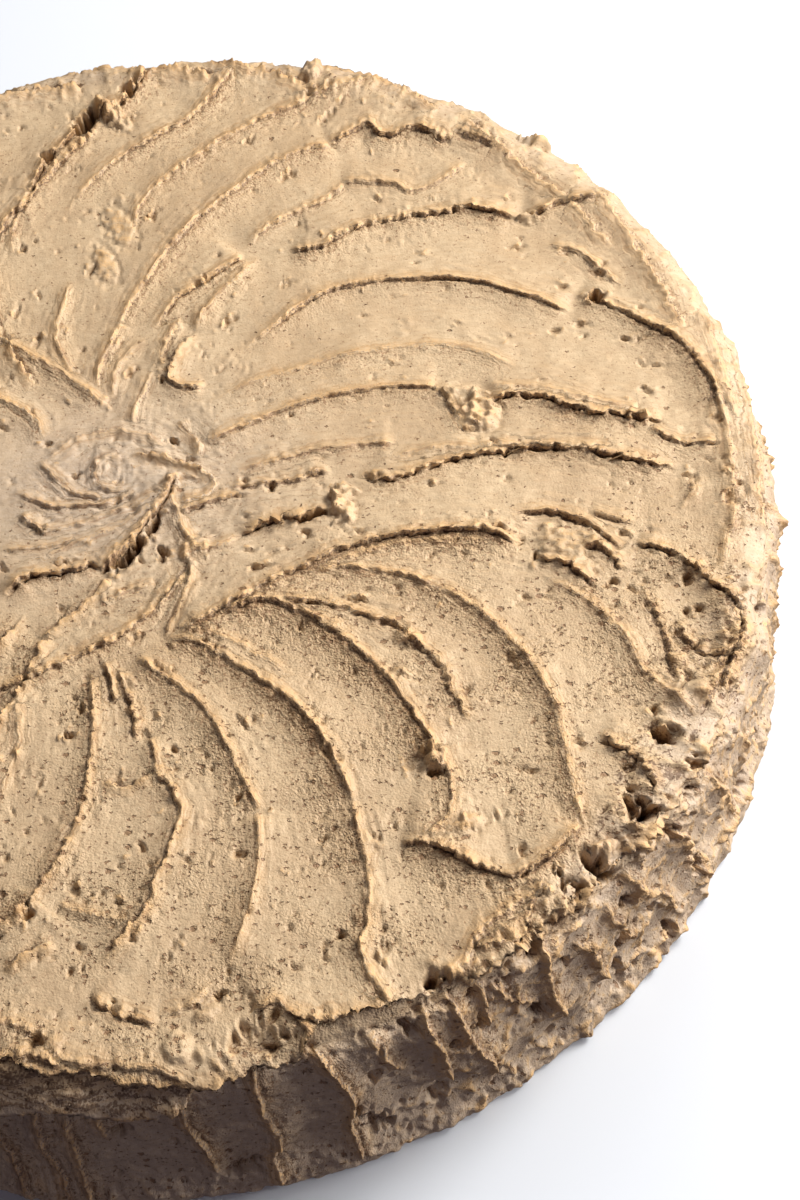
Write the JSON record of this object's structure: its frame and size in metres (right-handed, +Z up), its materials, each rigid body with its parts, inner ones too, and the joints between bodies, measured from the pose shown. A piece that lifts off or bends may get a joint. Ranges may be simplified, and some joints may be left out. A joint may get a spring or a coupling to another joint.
{
  "type": "layer cake",
  "caption": "Uncut round layer cake in thick chocolate frosting, its top spread in a swirl of curved spatula strokes and its side roughly daubed.",
  "frame": {"origin": "middle of the cake's outline on the flat underside that it rests on", "axes": "+Z up through the cake, -Y towards the side that the overhanging ledge of frosting faces most"},
  "size_m": [0.2422, 0.2454, 0.0495],
  "materials": {
    "chocolate_frosting": "matte, soft whipped chocolate frosting with a fine grain"
  },
  "bodies": {
    "root": {"frosted_cake": "chocolate_frosting"}
  },
  "joints": []
}
